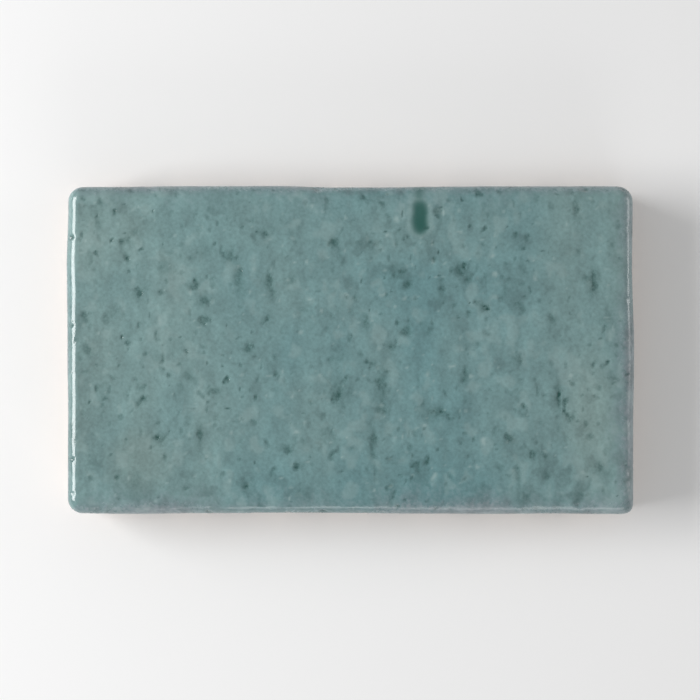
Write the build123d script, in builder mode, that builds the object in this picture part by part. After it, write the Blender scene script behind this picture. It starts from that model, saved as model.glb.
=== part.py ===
"""Glazed brick tile: a thin brick, extruded and wire-cut, with a glazed face and a keyed back.

The tile lies on its back with the glazed face up. X runs along the tile's length, Y along its
course height, which is the way the clay came out of the die, and Z from the back to the face.
The origin is at the middle of the back. All sizes are in millimetres.
"""

import os

from build123d import *

# Overall size of the unit
tile_length = 98.0  # between the two ends that the die formed
tile_height = 57.0  # between the two wire-cut edges, one brick course
tile_thickness = 13.0  # from the back to the glazed face

# Rounding of the block
corner_radius = 3.0  # corners of the face, seen from the front
face_arris_radius = 2.6  # edge of the face, where the glaze melts over it
back_arris_radius = 0.6  # edge of the back, worn in handling

# Dovetail key grooves that the die cuts along the back, for the bed of adhesive
key_pitch = 14.0  # middle of one groove to the middle of the next
key_mouth = 6.0  # width of a groove at the back's surface
key_depth = 1.6
key_flank_angle = 110.0  # over 90 degrees, so that the groove widens inwards
key_root_radius = 0.4  # inner corners of a groove
end_land = 9.0  # least width of plain back left at each end

# As many grooves as fit, the same number each side of a land in the middle of the back
half_back = tile_length / 2 - end_land
keys_each_side = int((half_back - key_mouth / 2 + key_pitch / 2) // key_pitch)
key_count = 2 * keys_each_side

with BuildPart() as brick_tile:
    # The block, with its corners rounded as seen from the front
    with BuildSketch() as face_outline:
        RectangleRounded(tile_length, tile_height, corner_radius)
    extrude(amount=tile_thickness)

    # The melted edge of the face and the worn edge of the back
    fillet(brick_tile.edges().group_by(Axis.Z)[-1], radius=face_arris_radius)
    fillet(brick_tile.edges().group_by(Axis.Z)[0], radius=back_arris_radius)

    # The key grooves run the whole course height, so they show as notches in both cut edges
    with BuildSketch(Plane.XZ) as key_section:
        with GridLocations(key_pitch, key_pitch, key_count, 1):
            Trapezoid(key_mouth, key_depth, key_flank_angle, align=(Align.CENTER, Align.MIN))
        fillet(key_section.vertices().group_by(Axis.Z)[-1], radius=key_root_radius)
    extrude(amount=tile_height, both=True, mode=Mode.SUBTRACT)

brick_tile.part.label = "brick_tile"

os.makedirs("parts", exist_ok=True)
export_step(brick_tile.part, "parts/brick_tile.step")
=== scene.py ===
# %% [markdown]
# # A glazed brick tile
# The real unit is a thin brick. Clay was pushed out of a die as a flat ribbon, cut off with a wire,
# dried, coated with glaze and fired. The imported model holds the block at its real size, and this
# lesson gives it the skin that the die, the wire and the kiln left on it. The model is loaded first,
# as a fixed frame that is never moved, and every size below starts from the tile's box in it.

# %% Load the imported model
import itertools
import math

import bpy
import numpy as np
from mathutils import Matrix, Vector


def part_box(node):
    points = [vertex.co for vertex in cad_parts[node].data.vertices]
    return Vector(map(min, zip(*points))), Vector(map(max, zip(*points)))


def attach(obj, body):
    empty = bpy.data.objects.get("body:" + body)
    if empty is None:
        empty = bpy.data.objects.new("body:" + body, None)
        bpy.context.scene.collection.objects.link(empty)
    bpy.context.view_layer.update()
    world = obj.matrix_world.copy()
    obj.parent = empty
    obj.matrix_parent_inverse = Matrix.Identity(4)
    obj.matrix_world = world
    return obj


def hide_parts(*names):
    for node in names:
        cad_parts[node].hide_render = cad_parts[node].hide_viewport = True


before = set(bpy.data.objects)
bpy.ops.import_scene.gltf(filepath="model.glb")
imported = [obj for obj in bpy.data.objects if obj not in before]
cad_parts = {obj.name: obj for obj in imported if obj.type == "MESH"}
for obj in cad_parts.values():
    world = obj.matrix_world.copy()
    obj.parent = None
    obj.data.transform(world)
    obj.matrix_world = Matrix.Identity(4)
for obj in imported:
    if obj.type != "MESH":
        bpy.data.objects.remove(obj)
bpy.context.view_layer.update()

MM = 0.001
low, high = (np.array(corner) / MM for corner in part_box("brick_tile"))
length, height, thickness = high - low
print(f"frame: one tile of {length:.1f} x {height:.1f} x {thickness:.1f} mm")

# %% [markdown]
# ## Camera
# The tile is seen straight from the front, as on a wall, with very little perspective. It is stored
# lying on its back, so the camera hangs above it and looks straight down, with the tile's length
# across the picture. A long lens some way off gives the same flat view. The distance follows from
# the share of the picture's width that the tile should take.

# %% Hang the camera above the face
tile_share_of_width = 0.82
lens_mm = 100.0
sensor_mm = 36.0
camera_data = bpy.data.cameras.new("front_camera")
camera_data.lens = lens_mm
camera_data.sensor_width = sensor_mm
camera_rise = length / tile_share_of_width * lens_mm / sensor_mm
camera = bpy.data.objects.new("front_camera", camera_data)
camera.location = (0, 0, (thickness + camera_rise) * MM)
bpy.context.collection.objects.link(camera)
bpy.context.scene.camera = camera
bpy.context.scene.view_settings.view_transform = "Standard"
print(f"camera: {camera_rise:.0f} mm above the face")

# %% [markdown]
# ## A map of the skin
# The face could be a flat plate with a bump texture, but its edges melt over, its outline wanders and
# its pits catch the light, so it is real geometry: one closed surface, worked out on grids. A fine
# grid covers the core of the face. A rim runs round that core in loops: out to the arris, over it,
# down the side and in under the back, where a coarse grid closes it. Each loop is the core's border
# pushed outwards, and at a corner the border's point stays put while its direction turns, so that
# the loops come out with round corners. The lower side is plain, so its loops keep every second point,
# and those of the back keep every fourth.

# %% Walk round the core of the face
corner_radius = 3.0
face_arris = 2.6
back_arris = 0.6
grid_step = 0.28
fan = 8
side_every, back_every = 2, 4
quarter = math.pi / 2

core_half = np.array([length, height]) / 2 - corner_radius
cells_x, cells_y = (back_every * np.round(2 * core_half / grid_step / back_every)).astype(int)


def walk_border():
    """Walks anticlockwise round the core rectangle, from its lower left corner.

    Each side gives its grid points, which all point straight out. Each corner then gives fan - 1 more
    points that stay put while their direction turns by 90 degrees. Returns places and directions.
    """
    corners = core_half * np.array([[-1, -1], [1, -1], [1, 1], [-1, 1], [-1, -1]])
    places, angles = [], []
    for side, cells in enumerate((cells_x, cells_y, cells_x, cells_y)):
        along = np.linspace(0, 1, cells + 1)[:, None]
        places.append(corners[side] * (1 - along) + corners[side + 1] * along)
        places.append(np.repeat(corners[side + 1][None], fan - 1, axis=0))
        facing = quarter * (side - 1)
        angles.append(np.full(cells + 1, facing))
        angles.append(facing + quarter * np.arange(1, fan) / fan)
    angles = np.concatenate(angles)
    return np.concatenate(places), np.stack([np.cos(angles), np.sin(angles)], axis=1)


border, outward = walk_border()
print(f"core grid: {cells_x} x {cells_y} cells, {len(border)} points round it")

# %% [markdown]
# ## The rim's section
# The rim has one section all the way round: a strip of flat face, the rounded arris where the glaze
# melted over the edge, the side, and the small worn arris of the back. It is written as rows. Each
# row has its reach from the core, its height, the tilt of its surface from level, and the distance
# that an ant would have walked over the skin to get there, so that patterns can run over the edge.

# %% Rows of the rim
strip_rows = 3
arris_rows = 9
side_rows = 17
fine_side_rows = 9
back_rows = 4


def rim_rows():
    """Rows of reach, height, tilt and skin distance, in millimetres and radians.

    The arris is a quarter circle: reach grows with the sine of its tilt and height with the cosine.
    """
    flat = corner_radius - face_arris
    strip = np.linspace(0, flat, strip_rows + 1)[1:]
    level = np.stack([strip, np.full(strip_rows, thickness), np.zeros(strip_rows), strip], axis=1)
    tilt = np.linspace(0, quarter, arris_rows + 1)[1:]
    top = np.stack([flat + face_arris * np.sin(tilt), thickness - face_arris * (1 - np.cos(tilt)),
                    tilt, flat + face_arris * tilt], axis=1)
    down = np.linspace(0, thickness - face_arris - back_arris, side_rows + 1)[1:]
    side = np.stack([np.full(side_rows, corner_radius), thickness - face_arris - down,
                     np.full(side_rows, quarter), top[-1, 3] + down], axis=1)
    tilt = np.linspace(quarter, 2 * quarter, back_rows + 1)[1:]
    under = np.stack([corner_radius - back_arris * (1 - np.sin(tilt)), back_arris * (1 + np.cos(tilt)),
                      tilt, side[-1, 3] + back_arris * (tilt - quarter)], axis=1)
    return np.concatenate([level, top, side, under])


rows = rim_rows()
back_from = strip_rows + arris_rows + side_rows
fine_rows = strip_rows + arris_rows + fine_side_rows
row_groups = ((0, fine_rows, 1), (fine_rows, back_from, side_every), (back_from, len(rows), back_every))
print(f"rim: {len(rows)} rows, {rows[-1, 3]:.1f} mm over the skin from face to back")

# %% [markdown]
# ## Soft noise and scattered marks
# Two kinds of chance shape this skin. Clay and glaze swell and sink softly, which is value noise: random
# heights on a lattice, blended smoothly between its points. Grit, pores and drag marks are single
# events, which is a lattice of cells where each cell may hold one mark somewhere inside it. Both are
# computed for all points at once, from seeded draws, so that every run gives the same tile.

# %% Helpers for chance
TABLE = 256
crowd_cell = 13.0
crowding = 0.8
shallowest = 0.35


def ease(t):
    """A step from 0 to 1 with no kink at either end: 6t^5 - 15t^4 + 10t^3."""
    t = np.clip(t, 0, 1)
    return t ** 3 * (t * (t * 6 - 15) + 10)


def soft_noise(u, v, cell_u, cell_v, seed):
    """Value noise from -1 to 1: random heights on a lattice, eased between its four nearest points."""
    heights = np.random.default_rng(seed).uniform(-1, 1, (TABLE, TABLE))
    i, j = np.floor(u / cell_u).astype(int), np.floor(v / cell_v).astype(int)
    s, t = ease(u / cell_u - i), ease(v / cell_v - j)
    i0, i1, j0, j1 = i % TABLE, (i + 1) % TABLE, j % TABLE, (j + 1) % TABLE
    near = heights[i0, j0] * (1 - s) + heights[i1, j0] * s
    far = heights[i0, j1] * (1 - s) + heights[i1, j1] * s
    return near * (1 - t) + far * t


def layered(u, v, *layers):
    """Soft noises added up. Each layer is its height, its cells along u and v, and its seed."""
    return sum(rise * soft_noise(u, v, cell_u, cell_v, seed) for rise, cell_u, cell_v, seed in layers)


def dent(du, dv, half_width, half_height):
    """A round-bottomed dent, 1 in its middle and 0 past its edge: one less the squared ellipse distance."""
    return np.clip(1 - (du / half_width) ** 2 - (dv / half_height) ** 2, 0, 1)


def scatter(u, v, cell, chance, half_width, tallness, seed):
    """Dents strewn over a lattice of cells, at most one in a cell, each with its own place and size.

    half_width and tallness are ranges, and small ones are more common. The chance rises and falls softly
    over the tile, so that dents crowd together. Every point looks at the nine cells around it and keeps
    the deepest dent.
    """
    draws = np.random.default_rng(seed).random((6, TABLE, TABLE))
    deepest = np.zeros_like(u)
    for di, dj in itertools.product((-1, 0, 1), repeat=2):
        i = np.floor(u / cell[0]).astype(int) + di
        j = np.floor(v / cell[1]).astype(int) + dj
        right, up, shown, size, stretch, depth = draws[:, i % TABLE, j % TABLE]
        middle_u, middle_v = (i + right) * cell[0], (j + up) * cell[1]
        crowd = 1 + crowding * soft_noise(middle_u, middle_v, crowd_cell, crowd_cell, seed + 100)
        wide = half_width[0] + (half_width[1] - half_width[0]) * size ** 2
        tall = wide * (tallness[0] + (tallness[1] - tallness[0]) * stretch ** 2)
        mark = dent(u - middle_u, v - middle_v, wide, tall) * (shallowest + (1 - shallowest) * depth)
        deepest = np.maximum(deepest, mark * (shown < chance * crowd))
    return deepest


print(f"chance: lattices of {TABLE} x {TABLE} draws")

# %% [markdown]
# ## Points of the skin
# All points go into flat arrays: their place on the perfect block, the direction that the surface faces
# there, and their place on the skin as if it were peeled off and pressed flat round the face. The lower
# right corner of this tile is squarer than the others, so its loops follow a superellipse.

# %% Lay out the points
corner_power = {"lower right": 3.2, "others": 2.0}


def squareness(directions):
    """How far a corner's loops bulge past a circle: the radius of |cos|^p + |sin|^p = 1."""
    power = np.where((directions[:, 0] > 0) & (directions[:, 1] < 0),
                     corner_power["lower right"], corner_power["others"])
    return (np.abs(directions[:, 0]) ** power + np.abs(directions[:, 1]) ** power) ** (-1 / power)


def rim_points(first, last, every):
    """One group of rim rows, with every n-th border point: places, normals, skin places and tilts."""
    reach, rise, tilt, walked = rows[first:last].T[:, :, None]
    push = outward[::every] * squareness(outward)[::every, None]
    flat = border[::every] + push * reach[..., None]
    place = np.concatenate([flat, np.broadcast_to(rise, flat.shape[:2])[..., None]], axis=2)
    side = outward[::every] * np.sin(tilt)[..., None]
    normal = np.concatenate([side, np.broadcast_to(np.cos(tilt), flat.shape[:2])[..., None]], axis=2)
    skin = border[::every] + outward[::every] * walked[..., None]
    return place, normal, skin, np.broadcast_to(tilt, flat.shape[:2])


def sheet_points(every, level, up):
    """The grid of the face (up = 1) or of the back (up = -1), with every n-th line of the core."""
    x, y = np.meshgrid(np.linspace(-core_half[0], core_half[0], cells_x // every + 1),
                       np.linspace(-core_half[1], core_half[1], cells_y // every + 1))
    place = np.stack([x, y, np.full_like(x, level)], axis=2)
    normal = np.zeros_like(place)
    normal[..., 2] = up
    return place, normal, place[..., :2], np.full_like(x, 0 if up > 0 else math.pi)


blocks = [sheet_points(1, thickness, 1)]
blocks += [rim_points(*group) for group in row_groups]
blocks += [sheet_points(back_every, 0.0, -1)]
place, normal = (np.concatenate([block[k].reshape(-1, 3) for block in blocks]) for k in (0, 1))
skin = np.concatenate([block[2].reshape(-1, 2) for block in blocks])
tilt = np.concatenate([block[3].reshape(-1) for block in blocks])
print(f"skin: {len(place)} points")

# %% [markdown]
# ## Loops into faces
# Neighbouring loops are joined by quads. Where a loop has half the points of the one above it, five-sided
# faces take up the difference, and where a corner's fan comes to a point, triangles do.

# %% Join the loops
shapes = [block[0].shape[:2] for block in blocks]
starts = np.cumsum([0] + [r * c for r, c in shapes])
ids = [start + np.arange(r * c).reshape(r, c) for start, (r, c) in zip(starts, shapes)]


def grid_border(grid, turn):
    """The ids of a grid's border in the order of walk_border, with each corner repeated for its fan."""
    sides = (grid[0], grid[:, -1], grid[-1, ::-1], grid[::-1, 0])
    return np.concatenate([np.append(side, np.full(turn - 1, side[-1])) for side in sides])


def grid_faces(grid):
    """One quad for each cell of a grid, anticlockwise."""
    return np.stack([grid[:-1, :-1], grid[:-1, 1:], grid[1:, 1:], grid[1:, :-1]], axis=2).reshape(-1, 4)


def join(upper, lower):
    """Faces between two loops: quads, or five-sided where lower has half the points."""
    ahead = np.roll(lower, -1)
    if len(lower) < len(upper):
        a, b = upper[::2], upper[1::2]
        return np.stack([a, lower, ahead, np.roll(a, -1), b], axis=1).tolist()
    quads = np.stack([upper, lower, ahead, np.roll(upper, -1)], axis=1)
    top_point, low_point = quads[:, 0] == quads[:, 3], quads[:, 1] == quads[:, 2]
    whole = quads[~(top_point | low_point)].tolist()
    return whole + quads[top_point][:, :3].tolist() + quads[low_point][:, [0, 1, 3]].tolist()


loops = [grid_border(ids[0], fan)]
loops += [loop for group in ids[1:-1] for loop in group]
loops += [grid_border(ids[-1], fan // back_every)]
faces = grid_faces(ids[0]).tolist() + grid_faces(ids[-1])[:, ::-1].tolist()
for upper, lower in zip(loops, loops[1:]):
    faces += join(upper, lower)
print(f"faces: {len(faces)}")

# %% [markdown]
# ## Where the glaze ends
# The glaze was poured over the face. It ran over the arris and stopped part way down the sides, in an
# uneven line with a few longer runs, and below it the fired clay is bare. The line is worked out round
# the outline, and every point keeps its distance above it, so that the material can draw a crisp edge.

# %% Distance above the glaze line
glaze_reach = 2.9
run_length = 1.3
line_range = 4.0
line_softness = 0.5
u, v = skin.T
edge_x, edge_y = place[:, 0], place[:, 1]
below_arris = np.where(tilt < quarter, -face_arris * np.cos(tilt), thickness - face_arris - place[:, 2])
glaze_line = glaze_reach + layered(
    edge_x, edge_y, (1.2, 13.0, 13.0, 11), (0.6, 5.0, 5.0, 12), (0.2, 1.9, 1.9, 14))
lobes = scatter(edge_x, edge_y, (11.0, 11.0), 0.45, (2.0, 3.4), (1.0, 1.0), 13)
glaze_line += run_length * ease(1.2 * lobes)
above_line = np.clip(glaze_line - below_arris, -line_range, line_range)
above_line[tilt > quarter] = -line_range
glazed = ease(above_line / line_softness + 0.5)
bare = 1 - glazed
on_rim = glaze_line[tilt == quarter]
print(f"glaze: runs {on_rim.min():.1f} to {on_rim.max():.1f} mm down")

# %% [markdown]
# ## Marks in the face
# Grit that the die dragged along, burst pores and pinholes left dents under the glaze. Glaze pooled in
# them, thick and dark green. The plainest marks are listed, from the middle of the face: spots of one
# size, streaks, nicks and fainter marks with their half sizes, and one long green drop. The rest are
# strewn. No real pit is round: each mark is bent by noise, has a core and a wide faint halo, and the
# halo shows only where a second noise is high. So a mark comes out as a ragged cluster, with crumbs round
# its core.

# %% Spots and streaks, listed one by one
spots = (
    (-38.3, 18.6), (-36.4, 9.9), (-45.4, 5.4), (-44.9, 0.0), (-25.0, 8.5), (-25.2, 5.2), (-27.5, -4.5),
    (-23.1, -7.1), (-35.5, -8.6), (-32.5, -15.1), (-10.6, -16.8), (-17.8, -23.6), (-2.5, 18.9), (2.2, 26.4),
    (18.6, 13.8), (19.8, 12.2), (10.0, 11.5), (22.7, 7.4), (9.6, 3.5), (34.4, 5.4), (28.8, -1.3),
    (19.7, -4.3), (26.9, -15.1), (31.4, -18.1), (11.5, -19.9), (37.4, -11.2), (45.2, -4.9), (42.9, -20.5),
    (7.4, 0.4), (5.2, -10.2), (-14.1, 5.2), (-17.6, 0.3), (-26.6, 11.1),
)
spot_half = 0.95
halo_spread = 1.9
streaks = (
    (-19.1, 13.2, 0.8, 2.0), (-13.7, 11.3, 0.8, 2.3), (-25.6, -14.9, 0.75, 2.0), (5.7, -6.2, 1.2, 3.6),
    (35.5, -7.8, 0.6, 2.5), (39.0, 24.3, 0.8, 2.0), (42.0, 11.9, 0.8, 2.2), (-1.9, -7.2, 1.5, 2.5),
    (-20.8, 16.0, 1.2, 1.3), (15.0, -10.7, 2.6, 1.2), (3.9, -16.0, 0.6, 3.4),
)
nicks = ((-48.2, 19.4, 0.9, 0.5), (-48.2, -18.8, 0.8, 0.4), (-48.0, 4.1, 0.6, 0.3))
faint_marks = (
    (-31.4, 13.7, 1.7, 0.9), (-15.0, 20.0, 1.4, 1.0), (-10.2, 12.0, 1.1, 1.2), (4.0, 18.0, 1.8, 1.0),
    (7.6, 12.9, 1.4, 1.8), (2.5, 4.8, 1.0, 1.7), (3.4, -2.0, 1.9, 1.1), (15.6, 10.3, 0.9, 1.7),
)
faintness = 0.55
bent_u = u + layered(u, v, (0.45, 1.2, 1.4, 21))
bent_v = v + layered(u, v, (0.50, 1.3, 1.5, 22))
marks = [(x, y, spot_half, spot_half, 1.0) for x, y in spots]
marks += [(*mark, 1.0) for mark in streaks + nicks] + [(*mark, faintness) for mark in faint_marks]
core, halo = np.zeros_like(u), np.zeros_like(u)
for x, y, half_width, half_height, depth in marks:
    core = np.maximum(core, depth * dent(bent_u - x, bent_v - y, half_width, half_height))
    wide, tall = half_width * halo_spread, half_height * halo_spread
    halo = np.maximum(halo, depth * dent(bent_u - x, bent_v - y, wide, tall))
print(f"placed: {len(marks)} spots, streaks, nicks and faint marks")

# %% The green drop
drop_x, drop_y, drop_half_width, drop_half_height = 12.0, 22.75, 1.45, 3.0
drop_bend = 0.2
neck_slimness = 1.6
glint_rim_across, glint_rim_along = 1.6, 1.15

# The drop is a squared-off ellipse with a soft border: the square across and the fourth power along it.
# Its neck is a narrow run up from its top. Its rim, the ring out to a larger such ellipse, is a painted
# glint.
bowed_u = u + drop_bend * (bent_u - u) + layered(u, v, (0.15, 3.0, 3.0, 30))
bowed_v = v + drop_bend * (bent_v - v)
drop_across, drop_along = (bowed_u - drop_x) / drop_half_width, (bowed_v - drop_y) / drop_half_height
drop = np.exp(-(drop_across ** 2 + drop_along ** 4) ** 2.2)
neck = np.exp(-(neck_slimness * drop_across) ** 2) * ease(drop_along - 0.4)
drop_glint_rim = ease(1.4 - (drop_across / glint_rim_across) ** 2 - (drop_along / glint_rim_along) ** 4) * (1 - drop)
print(f"drop: {2 * drop_half_width:.1f} x {2 * drop_half_height:.1f} mm")

# %% Strewn marks, and all of them broken up
# Each kind has its cell, its chance, its ranges of half width and tallness, and its seed.
strewn_kinds = {
    "pores": ((6.2, 6.2), 0.48, (0.6, 1.2), (0.7, 1.8), 23),
    "stains": ((7.0, 8.0), 0.45, (1.4, 2.8), (0.9, 2.2), 24),
    "specks": ((2.1, 2.4), 0.66, (0.32, 0.72), (0.7, 2.2), 25),
    "drags": ((6.0, 11.0), 0.50, (0.5, 1.0), (2.5, 7.0), 26),
    "chips": ((8.0, 8.0), 0.40, (0.5, 1.2), (0.8, 1.4), 36),
    # The pale flecks of the next kind are painted glints, standing for light caught on the rims of pits.
    "glint_flecks": ((2.6, 2.6), 0.35, (0.25, 0.55), (0.6, 1.6), 54),
}
strewn = {name: scatter(bent_u, bent_v, *kind) for name, kind in strewn_kinds.items()}
drags = strewn["drags"]
crumb = layered(u, v, (0.6, 0.62, 0.75, 28), (0.4, 1.3, 1.7, 29))
core = np.maximum(core, 0.8 * strewn["pores"])
halo = np.maximum(halo, strewn["stains"])
pits = np.clip(core * (0.85 + 0.7 * crumb) + 0.5 * halo * ease((crumb - 0.05) / 0.55), 0, 1)
specks = strewn["specks"] * (0.9 + 0.8 * crumb) * (0.85 + layered(u, v, (0.5, 9.0, 9.0, 55)))
patchy = layered(bent_u, bent_v, (0.6, 2.3, 2.7, 51), (0.4, 1.1, 1.3, 52))
smudges = ease((patchy + layered(u, v, (0.35, 13.0, 13.0, 53)) - 0.18 + 0.2 * crumb) / 0.6)
print(f"marks: {np.mean(pits > 0.3):.1%} of the points in pits, {np.mean(specks > 0.3):.1%} in specks")

# %% [markdown]
# ## Relief
# Each term is a height in millimetres along the surface's own direction. The whole skin swells slowly
# and the die left a ripple along the course height. The two ends that the die formed are smooth, and the
# two edges that the wire cut are lumpy and chipped. The glaze lies on the clay as a thin coat and ends in
# a rolled lip. The highest point is brought down to the block's own surface, so that the tile stays
# inside its box. Under the sides the points move level, so that the back stays flat.

# %% Where each kind of relief shows
# Each is 1 where its relief is full and 0 where there is none. The smooth ends keep a share of the lumps.
share_on_ends = 0.35
plain_foot, foot_fade = 1.8, 1.2

on_face = ease(1.4 - tilt / 1.1)
on_arris = np.where(tilt < quarter, np.sin(2 * tilt), 0)
on_side = ease(np.minimum(tilt, math.pi - tilt) / quarter)
wire_cut = ease((np.abs(normal[:, 1]) - np.abs(normal[:, 0])) * 2 + 0.5)
cut_edge = share_on_ends + (1 - share_on_ends) * wire_cut
clear_of_back = ease((place[:, 2] - plain_foot) / foot_fade)
print(f"relief: {np.mean(on_face > 0.5):.0%} of points on the face, {np.mean(on_side > 0.5):.0%} on sides")

# %% Push the points in and out
pit_depth, pit_depth_on_arris = 0.08, 0.30
drop_depth, speck_depth, drag_depth = 0.10, 0.03, 0.02
chip_depth, hole_depth, tear_depth = 0.40, 0.35, 0.15
coat_thickness = 0.14
lip_height, lip_middle, lip_half = 0.13, 0.6, 0.5

relief = layered(u, v, (0.11, 24.0, 24.0, 31), (0.04, 6.0, 8.0, 32))
relief += on_face * layered(u, v, (0.014, 1.5, 9.0, 27), (0.010, 0.9, 1.2, 33))
sunk = (pit_depth + pit_depth_on_arris * on_arris) * pits
relief -= glazed * (sunk + drop_depth * drop + speck_depth * specks + drag_depth * drags)
lumpy = layered(u, v, (0.12, 5.0, 5.0, 34), (0.06, 1.8, 1.8, 35))
relief += on_arris * cut_edge * (lumpy - chip_depth * strewn["chips"])
relief += on_side * layered(edge_x, edge_y, (0.14, 13.0, 13.0, 37))
holes = scatter(u, v, (3.4, 3.4), 0.5, (0.3, 0.9), (0.7, 2.6), 40)
torn = layered(u, v, (0.05, 0.9, 1.6, 38), (0.07, 2.6, 4.0, 39))
torn -= cut_edge * (hole_depth * holes + tear_depth * drags)
relief += bare * on_side * clear_of_back * torn
lip = lip_height * np.exp(-((above_line - lip_middle) / lip_half) ** 2) * on_side
relief += coat_thickness * glazed + lip
relief -= relief[tilt <= quarter].max()
push = np.where(tilt[:, None] > quarter, normal * [1, 1, 0], normal)
points = place + push * np.minimum(relief, 0)[:, None]
print(f"relief: {relief.min():.2f} to {relief.max():.2f} mm")

# %% [markdown]
# ## Numbers for the material
# The colour follows the relief, because glaze is dark where it lies thick and pale where it runs thin.
# Seven numbers are kept on every point: pool, how deep the glaze lies in a mark or behind its lip; drop,
# the same for the green drop; smudge and shade, soft dark patches and painted shade down the left edge;
# frost and glint, pale crystals with painted glints by the pits and round the drop; thin, how far the
# glaze has run off the arris; cloud, the slow drift from teal to grey-green; and coat, the distance above
# the glaze line. Faces that are cut later get 0 for all of them, so coat is 4 at the line, and 0 is bare.

# %% Pooled and frosted glaze, and painted glints
pool_behind_lip, pool_in_runs = 0.30, 0.14
behind_lip = np.exp(-((above_line - 0.45) / 0.45) ** 2)
runs = soft_noise(edge_x, edge_y, 1.7, 1.7, 45)
pool = 0.44 * pits + 0.62 * specks + 0.30 * drags + 0.12 * smudges + 0.20 * halo
pool += on_side * (pool_behind_lip * behind_lip + pool_in_runs * np.clip(runs, 0, 1))
# The pale number is crystals in patches, with painted glints: the flecks by the pits and the ring round the
# drop.
frost_and_glint = 0.58 * strewn["glint_flecks"] + 0.22 * ease(-patchy * 1.6 - 0.1) + 0.25 * drop_glint_rim
print(f"pooled: {np.mean(pool > 0.3):.1%} of the points, frosted: {np.mean(frost_and_glint > 0.3):.1%}")

# %% Thin glaze along the edges
thin_band = {"bottom": 3.3, "top": 1.6, "right": 3.1, "left": 0.5}
greyed_reach, greyed_share = 9.0, 0.26

to_edge = np.array([length, height]) / 2 - np.abs(place[:, :2])
nearest_cut = to_edge[:, 1] < to_edge[:, 0]
band = np.where(nearest_cut, np.where(edge_y < 0, thin_band["bottom"], thin_band["top"]),
                np.where(edge_x > 0, thin_band["right"], thin_band["left"]))
ragged = layered(u, v, (0.6, 2.6, 2.6, 41), (0.4, 0.9, 0.9, 42))
worn = 0.98 + layered(edge_x, edge_y, (0.45, 11.0, 11.0, 47))
thin = np.exp(-(to_edge.min(axis=1) / (band * (1 + 0.35 * ragged))) ** 2) * worn
greyed_right, greyed_top = ease(1 - to_edge.T / greyed_reach) * (place[:, :2].T > 0)
greyed = np.maximum(greyed_right, greyed_top) * (0.8 + layered(u, v, (0.6, 5.0, 5.0, 46)))
thin = np.maximum(thin, greyed_share * greyed)
thin *= 1 - ease((below_arris + 0.9 + 0.6 * runs) / 1.8)
print(f"thin: {np.mean(thin > 0.5):.1%} of the points")

# %% Clouded and darkened glaze, with painted shade
plain_cloud = 0.56
teal_middle, teal_half, tealer = 14.0, 26.0, 0.34
grey_from, grey_fade, greyer_end = 28.0, 18.0, 0.30

cloud = plain_cloud - tealer * ease(1 - np.abs(u - teal_middle) / teal_half)
cloud += greyer_end * ease((u - grey_from) / grey_fade)
cloud += layered(u, v, (0.22, 17.0, 34.0, 43)) + layered(bent_u, bent_v, (0.17, 6.0, 11.0, 44))
# Each patch has its middle, its half sizes, and how much greyer or darker it is. Less than 0 is tealer.
cloud_patches = (
    (41.0, -10.0, 5.0, 14.0, 0.42), (-36.0, -19.0, 7.0, 6.0, 0.42), (-44.0, 20.0, 9.0, 9.0, 0.42),
    (-46.0, 0.0, 8.0, 22.0, 0.30), (11.0, 20.5, 15.0, 8.0, 0.28), (-6.0, 0.0, 7.0, 8.0, -0.34),
    (4.0, -24.0, 24.0, 9.0, -0.38),
)
for x, y, half_width, half_height, greyer in cloud_patches:
    cloud += greyer * dent(bent_u - x, bent_v - y, half_width, half_height)
# The long patch down the left edge is painted shade: it darkens the glaze where the low lamp on the left
# lights it most. The other two only darken the glaze.
dark_and_shade_patches = (
    (-47.0, -6.0, 9.0, 24.0, 0.90), (4.0, -24.0, 24.0, 9.0, 0.40), (-36.0, -19.0, 8.0, 9.0, 0.90),
)
smudge_and_shade = smudges.copy()
for x, y, half_width, half_height, darker in dark_and_shade_patches:
    smudge_and_shade += darker * dent(bent_u - x, bent_v - y, half_width, half_height)
drop_and_neck = drop * (0.95 - 0.05 * drop_along) + 0.55 * neck * (1 - drop)
skin_numbers = {
    "pool": pool, "drop": drop_and_neck, "smudge_and_shade": smudge_and_shade, "frost_and_glint": frost_and_glint, "thin": thin, "cloud": cloud,
    "coat": above_line + line_range}
print({name: f"{values.min():.2f} to {values.max():.2f}" for name, values in skin_numbers.items()})

# %% [markdown]
# ## The mesh
# The closed skin becomes one mesh, and the seven numbers become attributes of its points. The six key
# grooves of the back are wider inside than at their mouths, which no grid of heights can show, so a
# dovetail section is carried along the tile and cut away with a Boolean.

# %% Make the skin's mesh
skin_mesh = bpy.data.meshes.new("glazed_tile")
skin_mesh.from_pydata(points * MM, [], faces)
for name, values in skin_numbers.items():
    attribute = skin_mesh.attributes.new(name, "FLOAT", "POINT")
    attribute.data.foreach_set("value", values.astype(np.float32))
tile = bpy.data.objects.new("glazed_tile", skin_mesh)
bpy.context.collection.objects.link(tile)
print(f"mesh: {len(skin_mesh.vertices)} points, {len(skin_mesh.polygons)} faces")

# %% Bars in the shape of the key grooves
key_count = 6
key_pitch = 14.0
key_mouth = 6.0
key_depth = 1.6
key_lean = math.radians(20)
key_root = key_mouth + 2 * key_depth * math.tan(key_lean)
key_root_radius = 0.4
bend_points = 6
below_back = 1.0


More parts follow.
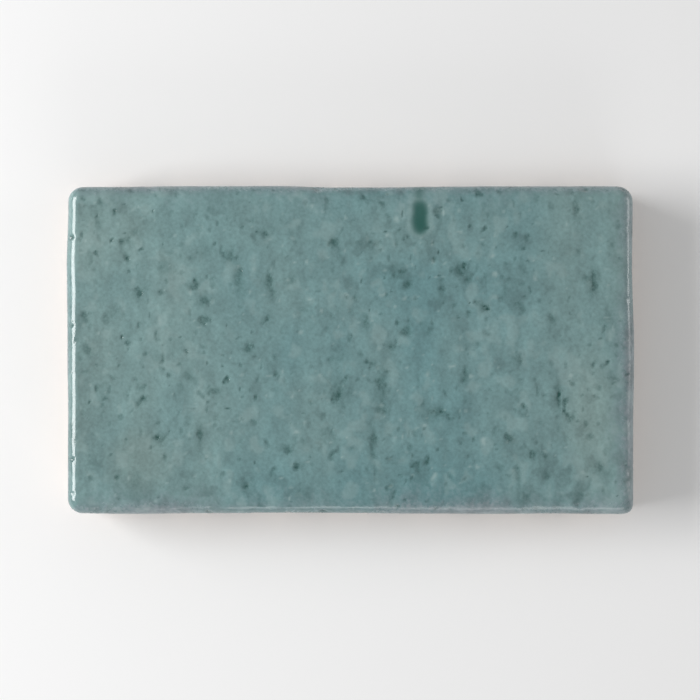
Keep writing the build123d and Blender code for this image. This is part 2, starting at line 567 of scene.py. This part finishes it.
def groove_cutters():
    """A bar along Y for each groove. Its section is the dovetail with round roots, run on below the back.

    A root is a bend with two equal legs, the quadratic blend of its first end, its corner and its last.
    Each leg is the root's radius over the tangent of half the corner between the flank and the roof.
    """
    leg = key_root_radius / math.tan((quarter - key_lean) / 2)
    done = np.linspace(0, 1, bend_points)[:, None]
    mouth, root = np.array([key_mouth / 2, 0]), np.array([key_root / 2, key_depth])
    flank_end = root - leg * (root - mouth) / np.linalg.norm(root - mouth)
    bend = (1 - done) ** 2 * flank_end + 2 * done * (1 - done) * root + done ** 2 * (root - [leg, 0])
    right = np.concatenate([[[key_mouth / 2, -below_back], mouth], bend])
    section = np.concatenate([right, right[::-1] * [-1, 1]])
    corners = len(section)
    centres = (np.arange(key_count) - (key_count - 1) / 2) * key_pitch
    bars = np.zeros((key_count, 2, corners, 3))
    bars[..., 0] = section[:, 0] + centres[:, None, None]
    bars[..., 1] = np.array([-height, height])[:, None]
    bars[..., 2] = section[:, 1]
    ring = np.arange(corners)
    walls = np.stack([ring, np.roll(ring, -1), np.roll(ring, -1) + corners, ring + corners], axis=1)
    bar_faces = walls[:, ::-1].tolist() + [ring.tolist(), (ring + corners)[::-1].tolist()]
    offsets = 2 * corners * np.arange(key_count)
    return bars.reshape(-1, 3), [[i + offset for i in face] for offset in offsets for face in bar_faces]


cutter_mesh = bpy.data.meshes.new("key_cutters")
cutter_points, cutter_faces = groove_cutters()
cutter_mesh.from_pydata(cutter_points * MM, [], cutter_faces)
cutter = bpy.data.objects.new("key_cutters", cutter_mesh)
bpy.context.collection.objects.link(cutter)
print(f"grooves: {key_count}, {key_mouth:.1f} mm wide at the mouth and {key_root:.1f} mm inside")

# %% Cut the grooves
sharp_from = math.radians(50)
keys = tile.modifiers.new("keys", "BOOLEAN")
keys.operation = "DIFFERENCE"
keys.solver = "MANIFOLD"
keys.object = cutter
graph = bpy.context.evaluated_depsgraph_get()
keyed_mesh = bpy.data.meshes.new_from_object(tile.evaluated_get(graph))
tile.modifiers.clear()
tile.data = keyed_mesh
bpy.data.objects.remove(cutter)
keyed_mesh.shade_smooth()
keyed_mesh.set_sharp_from_angle(angle=sharp_from)
triangles = sum(len(face.vertices) - 2 for face in keyed_mesh.polygons)
print(f"keyed: {len(keyed_mesh.vertices)} points, {triangles} triangles")

# %% [markdown]
# ## Materials
# One function turns an sRGB hex value to linear colour, and one adds a node with its settings and links.
# Pattern scales are given as real sizes: a noise cell of so many millimetres. A noise that is cut along
# its own lattice looks woven, and the tile's faces are level, so the lattice is turned out of line first.

# %% Helpers for materials


def linear(hex_colour):
    """sRGB hex to linear RGBA, by the sRGB curve."""
    parts = [int(hex_colour[k:k + 2], 16) / 255 for k in (1, 3, 5)]
    return [p / 12.92 if p <= 0.04045 else ((p + 0.055) / 1.055) ** 2.4 for p in parts] + [1.0]


def per_cell(size_mm):
    """The scale at which a noise has one cell in that many millimetres."""
    return 1 / (size_mm * MM)


def add_node(tree, kind, inputs=None, **settings):
    """Adds one node: settings are its own properties, inputs are values or sockets to link."""
    made = tree.nodes.new(kind)
    for name, value in settings.items():
        setattr(made, name, value)
    for name, value in (inputs or {}).items():
        if isinstance(value, bpy.types.NodeSocket):
            tree.links.new(value, made.inputs[name])
        else:
            made.inputs[name].default_value = value
    return made


print("materials: helpers ready")

# %% [markdown]
# ## Patterns in the skin
# All the patterns are noise in the tile's own coordinates. Some are drawn out along the course height,
# which is the way the clay came out of the die, by scaling the coordinates down along it. The clay's
# sand is really finer than 0.35 mm, and is drawn that coarse so that it shows.

# %% Noise for glaze and clay
finish = bpy.data.materials.new("glossy_glaze_on_fired_clay")
finish.use_nodes = True
tree = finish.node_tree
tree.nodes.clear()
at = add_node(tree, "ShaderNodeTexCoord").outputs["Object"]
out_of_line = (0.6, 0.5, 0.9)
spaces = {}
for name, stretch in (("even", (1, 1, 1)), ("tall", (1, 0.6, 1)), ("dragged", (1, 0.07, 0.07))):
    spaces[name] = add_node(tree, "ShaderNodeMapping", {
        "Vector": at, "Scale": stretch, "Rotation": out_of_line}).outputs[0]
noise = {}
for name, space, cell_mm, detail in (
        ("mottle", "tall", 2.6, 2.0), ("veil", "dragged", 2.4, 2.0), ("grain", "even", 0.6, 2.0),
        ("crumbs", "even", 0.4, 2.0), ("sand", "even", 0.35, 3.0), ("lumps", "even", 2.2, 3.0),
        ("body", "even", 9.0, 3.0), ("tears", "dragged", 0.9, 2.0)):
    noise[name] = add_node(tree, "ShaderNodeTexNoise", {
        "Vector": spaces[space], "Scale": per_cell(cell_mm), "Detail": detail}).outputs[0]
number = {}
for name in skin_numbers:
    number[name] = add_node(tree, "ShaderNodeAttribute", attribute_name=name).outputs["Fac"]


def shaded_by(colour, depths):
    """Multiplies a colour by each named noise, which swings by its depth to either side of one."""
    for name, depth in depths.items():
        swing = add_node(tree, "ShaderNodeMapRange", {
            "Value": noise[name], "From Min": 0.25, "From Max": 0.75,
            "To Min": 1 - depth, "To Max": 1 + depth}).outputs[0]
        colour = add_node(tree, "ShaderNodeVectorMath", {
            0: colour, "Scale": swing}, operation="SCALE").outputs[0]
    return colour


print(f"patterns: {len(noise)} kinds of noise")

# %% [markdown]
# ## Glossy glaze
# The glaze is a blue-green one that breaks: it is teal where it lies even, greyer and greener in clouds,
# nearly black-green where it pools, and pale grey where it runs off an edge and the body shows through.
# Fine crystals and pinholes make it grainy, and pale flecks by the pits are painted glints. The glaze and
# the bare clay are in one material, because one skin carries both and the line between them wanders.

# %% Colour of the glaze
teal, grey_green = linear("#638A8D"), linear("#799492")
broken_grey, bald_grey = linear("#77898E"), linear("#889398")
# The pale tint is for frost crystals and for painted glints.
frost_and_glint_pale, pool_green, drop_green = linear("#9CB4B2"), linear("#0C4540"), linear("#0A5149")
grain_swing = 1.1
broken_span, most_broken = (0.68, 1.60), 0.9
bald_span, most_bald = (1.40, 1.85), 0.8

glaze = add_node(tree, "ShaderNodeMix", {
    0: number["cloud"], 6: teal, 7: grey_green}, data_type="RGBA", clamp_factor=False).outputs[2]
breaking = add_node(tree, "ShaderNodeMath", {
    0: noise["grain"], 1: grain_swing, 2: number["thin"]}, operation="MULTIPLY_ADD").outputs[0]
broken = add_node(tree, "ShaderNodeMapRange", {
    "Value": breaking, "From Min": broken_span[0], "From Max": broken_span[1],
    "To Max": most_broken}).outputs[0]
bald = add_node(tree, "ShaderNodeMapRange", {
    "Value": breaking, "From Min": bald_span[0], "From Max": bald_span[1],
    "To Max": most_bald}).outputs[0]
for share, tint in ((broken, broken_grey), (bald, bald_grey)):
    glaze = add_node(tree, "ShaderNodeMix", {0: share, 6: glaze, 7: tint}, data_type="RGBA").outputs[2]
glaze = shaded_by(glaze, {"mottle": 0.13, "veil": 0.06, "grain": 0.13})
print(f"glaze: {len(tree.nodes)} nodes so far")

# %% Smudges and painted shade, crystals and painted glints, and pooled glaze
darkest_smudge_and_shade = 0.86
crumb_swing = (0.72, 1.25)
pool_span = (0.05, 1.05)

crumbled = add_node(tree, "ShaderNodeMapRange", {
    "Value": noise["crumbs"], "From Min": 0.3, "From Max": 0.7,
    "To Min": crumb_swing[0], "To Max": crumb_swing[1]}).outputs[0]
pool_depth = add_node(tree, "ShaderNodeMath", {
    0: number["pool"], 1: crumbled}, operation="MULTIPLY").outputs[0]
pooled = add_node(tree, "ShaderNodeMapRange", {
    "Value": pool_depth, "From Min": pool_span[0], "From Max": pool_span[1]}).outputs[0]
# This darkening is soft dark patches in the glaze and, down the left edge, painted shade.
smudged_and_shaded = add_node(tree, "ShaderNodeMapRange", {
    "Value": number["smudge_and_shade"], "To Min": 1.0, "To Max": darkest_smudge_and_shade}).outputs[0]
glaze = add_node(tree, "ShaderNodeVectorMath", {0: glaze, "Scale": smudged_and_shaded}, operation="SCALE").outputs[0]
for share, tint in ((number["frost_and_glint"], frost_and_glint_pale), (pooled, pool_green), (number["drop"], drop_green)):
    glaze = add_node(tree, "ShaderNodeMix", {0: share, 6: glaze, 7: tint}, data_type="RGBA").outputs[2]
print(f"glaze: {len(tree.nodes)} nodes so far")

# %% [markdown]
# ## Bare fired clay
# Below the glaze line the body shows: a pale, warm, sandy clay with pale crumbs of grog and dark iron
# specks in it, torn a little where the wire went through, and toasted darker next to the glaze.

# %% Colour of the clay
dark_clay, pale_clay, toasted_clay = linear("#A69485"), linear("#CCBCAD"), linear("#8F7565")
toast_reach, toast_share = 1.2, 0.45

clay = add_node(tree, "ShaderNodeMix", {
    0: noise["body"], 6: dark_clay, 7: pale_clay}, data_type="RGBA").outputs[2]
clay = shaded_by(clay, {"sand": 0.20, "lumps": 0.16, "tears": 0.12})
toast = add_node(tree, "ShaderNodeMapRange", {
    "Value": number["coat"], "From Min": line_range - toast_reach, "From Max": line_range,
    "To Max": toast_share}).outputs[0]
clay = add_node(tree, "ShaderNodeMix", {0: toast, 6: clay, 7: toasted_clay}, data_type="RGBA").outputs[2]
print(f"clay: {len(tree.nodes)} nodes so far")

# %% Grog and iron in the clay
# Each kind has its cell in millimetres, the draw from which its crumbs start to grow, and its colour. The
# draw sets a crumb's radius, as a share of its cell, and the sand makes its outline uneven.
grog, fine_iron, coarse_iron = (0.9, 0.45, "#DCD0C3"), (1.2, 0.66, "#574439"), (3.4, 0.70, "#6E5848")
radius_span, unevenness = (-0.1, 0.24), 0.22
crumb_softness, crumb_share = 0.08, 0.7

uneven = add_node(tree, "ShaderNodeMapRange", {
    "Value": noise["sand"], "To Min": -unevenness, "To Max": unevenness}).outputs[0]
for cell_mm, grows_from, tint in (grog, fine_iron, coarse_iron):
    crumb_cells = add_node(tree, "ShaderNodeTexVoronoi", {
        "Vector": spaces["even"], "Scale": per_cell(cell_mm)})
    draw = add_node(tree, "ShaderNodeSeparateColor", {0: crumb_cells.outputs["Color"]}).outputs[0]
    radius = add_node(tree, "ShaderNodeMapRange", {
        "Value": draw, "From Min": grows_from, "From Max": 1.0,
        "To Min": radius_span[0], "To Max": radius_span[1]}).outputs[0]
    distance = add_node(tree, "ShaderNodeMath", {
        0: crumb_cells.outputs["Distance"], 1: uneven}, operation="ADD").outputs[0]
    inside = add_node(tree, "ShaderNodeMath", {0: radius, 1: distance}, operation="SUBTRACT").outputs[0]
    share = add_node(tree, "ShaderNodeMapRange", {
        "Value": inside, "From Max": crumb_softness, "To Max": crumb_share}).outputs[0]
    clay = add_node(tree, "ShaderNodeMix", {
        0: share, 6: clay, 7: linear(tint)}, data_type="RGBA").outputs[2]
print(f"clay: {len(tree.nodes)} nodes so far")

# %% [markdown]
# ## Gloss and fine relief
# The glaze is glossy and nearly smooth, with sunken marks, and duller where it has run thin. It is a
# glass, whose index is about 1.5, and 1.7 matches the strong line that this one's arris shows. The clay
# is dull and sandy. Their heights are worked out in millimetres and go into one bump.

# %% Glaze over clay, and its gloss
jag, crispness = 0.5, 0.07
glaze_roughness, thin_roughness, clay_roughness = (0.12, 0.22), 0.34, 0.92

jagged = add_node(tree, "ShaderNodeMath", {
    0: noise["sand"], 1: jag, 2: number["coat"]}, operation="MULTIPLY_ADD").outputs[0]
jagged_line = line_range + jag / 2
coated = add_node(tree, "ShaderNodeMapRange", {
    "Value": jagged, "From Min": jagged_line - crispness, "From Max": jagged_line + crispness}).outputs[0]
colour = add_node(tree, "ShaderNodeMix", {0: coated, 6: clay, 7: glaze}, data_type="RGBA").outputs[2]
gloss = add_node(tree, "ShaderNodeMapRange", {
    "Value": noise["mottle"], "From Min": 0.3, "From Max": 0.7,
    "To Min": glaze_roughness[0], "To Max": glaze_roughness[1]}).outputs[0]
satin = add_node(tree, "ShaderNodeMix", {0: broken, 2: gloss, 3: thin_roughness}).outputs[0]
dullness = add_node(tree, "ShaderNodeMix", {0: coated, 2: clay_roughness, 3: satin}).outputs[0]
print(f"gloss: roughness {glaze_roughness} on the glaze, {clay_roughness} on the clay")

# %% Fine relief, and the finished shader
glaze_index = 1.7
sink_mm, grain_mm, ripple_mm = 0.08, 0.02, 0.06
sand_mm, lump_mm = 0.16, 0.25

sunken = add_node(tree, "ShaderNodeMath", {0: pooled, 1: -sink_mm}, operation="MULTIPLY").outputs[0]
grainy = add_node(tree, "ShaderNodeMath", {0: broken, 1: noise["grain"]}, operation="MULTIPLY").outputs[0]
uneven_coat = add_node(tree, "ShaderNodeMath", {
    0: grainy, 1: grain_mm, 2: sunken}, operation="MULTIPLY_ADD").outputs[0]
glaze_rise = add_node(tree, "ShaderNodeMath", {
    0: noise["mottle"], 1: ripple_mm, 2: uneven_coat}, operation="MULTIPLY_ADD").outputs[0]
sandy = add_node(tree, "ShaderNodeMath", {0: noise["sand"], 1: sand_mm}, operation="MULTIPLY").outputs[0]
clay_rise = add_node(tree, "ShaderNodeMath", {
    0: noise["lumps"], 1: lump_mm, 2: sandy}, operation="MULTIPLY_ADD").outputs[0]
rise = add_node(tree, "ShaderNodeMix", {0: coated, 2: clay_rise, 3: glaze_rise}).outputs[0]
bumped = add_node(tree, "ShaderNodeBump", {"Height": rise, "Distance": MM}).outputs[0]
surface = add_node(tree, "ShaderNodeBsdfPrincipled", {
    "Base Color": colour, "Roughness": dullness, "Normal": bumped, "IOR": glaze_index})
add_node(tree, "ShaderNodeOutputMaterial", {"Surface": surface.outputs["BSDF"]})
keyed_mesh.materials.clear()
keyed_mesh.materials.append(finish)
print(f"finish: {len(tree.nodes)} nodes")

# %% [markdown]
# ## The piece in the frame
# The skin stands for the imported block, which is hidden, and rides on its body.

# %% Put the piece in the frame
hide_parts("brick_tile")
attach(tile, "root")
print("piece: glazed_tile rides on root")

# %% [markdown]
# ## Floor
# A sheet of pale paper. Near the tile it is lit and keeps the tile's shadow. Further off it fades into
# the same plain white as the background, so that no horizon shows. The fade is for the camera's own rays
# alone, and adds no light to the tile.

# %% Pale paper
# Half the sheet's width, and the distances between which it fades, are in metres from the tile's middle.
backdrop_white = 1.0
floor_half = 4.0
lit_within, plain_beyond = 0.11, 0.30
floor_corners = floor_half * np.array([[-1, -1, 0], [1, -1, 0], [1, 1, 0], [-1, 1, 0]])
floor_mesh = bpy.data.meshes.new("floor")
floor_mesh.from_pydata(floor_corners, [], [(0, 1, 2, 3)])
floor = bpy.data.objects.new("floor", floor_mesh)
bpy.context.collection.objects.link(floor)
paper = bpy.data.materials.new("pale_paper")
paper.use_nodes = True
paper_tree = paper.node_tree
paper_tree.nodes.clear()
on_floor = add_node(paper_tree, "ShaderNodeTexCoord").outputs["Object"]
from_tile = add_node(paper_tree, "ShaderNodeVectorMath", {0: on_floor}, operation="LENGTH").outputs["Value"]
far = add_node(paper_tree, "ShaderNodeMapRange", {
    "Value": from_tile, "From Min": lit_within, "From Max": plain_beyond},
    interpolation_type="SMOOTHSTEP").outputs[0]
in_view = add_node(paper_tree, "ShaderNodeLightPath").outputs["Is Camera Ray"]
fade = add_node(paper_tree, "ShaderNodeMath", {0: far, 1: in_view}, operation="MULTIPLY").outputs[0]
lit = add_node(paper_tree, "ShaderNodeBsdfDiffuse", {"Color": linear("#F4F4F4")}).outputs[0]
plain = add_node(paper_tree, "ShaderNodeEmission", {"Strength": backdrop_white}).outputs[0]
sheet = add_node(paper_tree, "ShaderNodeMixShader", {0: fade, 1: lit, 2: plain}).outputs[0]
add_node(paper_tree, "ShaderNodeOutputMaterial", {"Surface": sheet})
floor_mesh.materials.append(paper)
print("floor: pale paper")

# %% [markdown]
# ## Light
# A broad soft light stands low on the left, a little behind, and draws a white line along the left arris.
# Weak ones from the near side and the right catch the other edges. Two small faint lamps stand across
# from the corners that a visitor would look over, and the glossy face mirrors them there in one patch.
# Each lamp is given its share of the face's light, with the world's own share, and together they make
# about one: the level at which a colour renders about as it is written.

# %% World and lamps
world_share = 0.40
world = bpy.data.worlds.new("studio")
world.use_nodes = True
bpy.context.scene.world = world
world_tree = world.node_tree
world_tree.nodes.clear()
behind = add_node(world_tree, "ShaderNodeLightPath").outputs["Is Camera Ray"]
strength = add_node(world_tree, "ShaderNodeMapRange", {
    "Value": behind, "To Min": world_share, "To Max": backdrop_white}).outputs[0]
sky = add_node(world_tree, "ShaderNodeBackground", {"Color": (1, 1, 1, 1), "Strength": strength})
add_node(world_tree, "ShaderNodeOutputWorld", {"Surface": sky.outputs[0]})


def softbox(name, place, width, tallness, share):
    """A soft light aimed at the tile, with the power that gives its share of the face's light.

    A flat lamp lights a level face by its power times its height over pi times the cube of its distance,
    and a white face sends that on divided by pi, so the power is the share turned round.
    """
    data = bpy.data.lights.new(name, "AREA")
    data.shape = "RECTANGLE"
    data.size, data.size_y = tallness, width
    distance = np.linalg.norm(place)
    data.energy = share * math.pi ** 2 * distance ** 3 / place[2]
    lamp = bpy.data.objects.new(name, data)
    lamp.location = place
    lamp.rotation_euler = (0, math.acos(place[2] / distance), math.atan2(place[1], place[0]))
    lamp.visible_camera = False
    bpy.context.collection.objects.link(lamp)
    return data.energy


# Each lamp has its name, its place, width and tallness in metres, and its share of the face's light.
lamps = (
    ("key_left", (-0.49, 0.05, 0.32), 0.42, 0.30, 0.51),
    ("fill_near", (0.12, -0.58, 0.24), 0.40, 0.22, 0.06),
    ("rim_right", (0.58, 0.10, 0.14), 0.24, 0.10, 0.03),
    ("gleam_near", (0.52, -0.40, 0.18), 0.09, 0.04, 0.0011),
    ("gleam_far", (-0.50, 0.36, 0.30), 0.10, 0.05, 0.0032),
)
for lamp in lamps:
    print(f"{lamp[0]}: {softbox(*lamp):.2f} W")
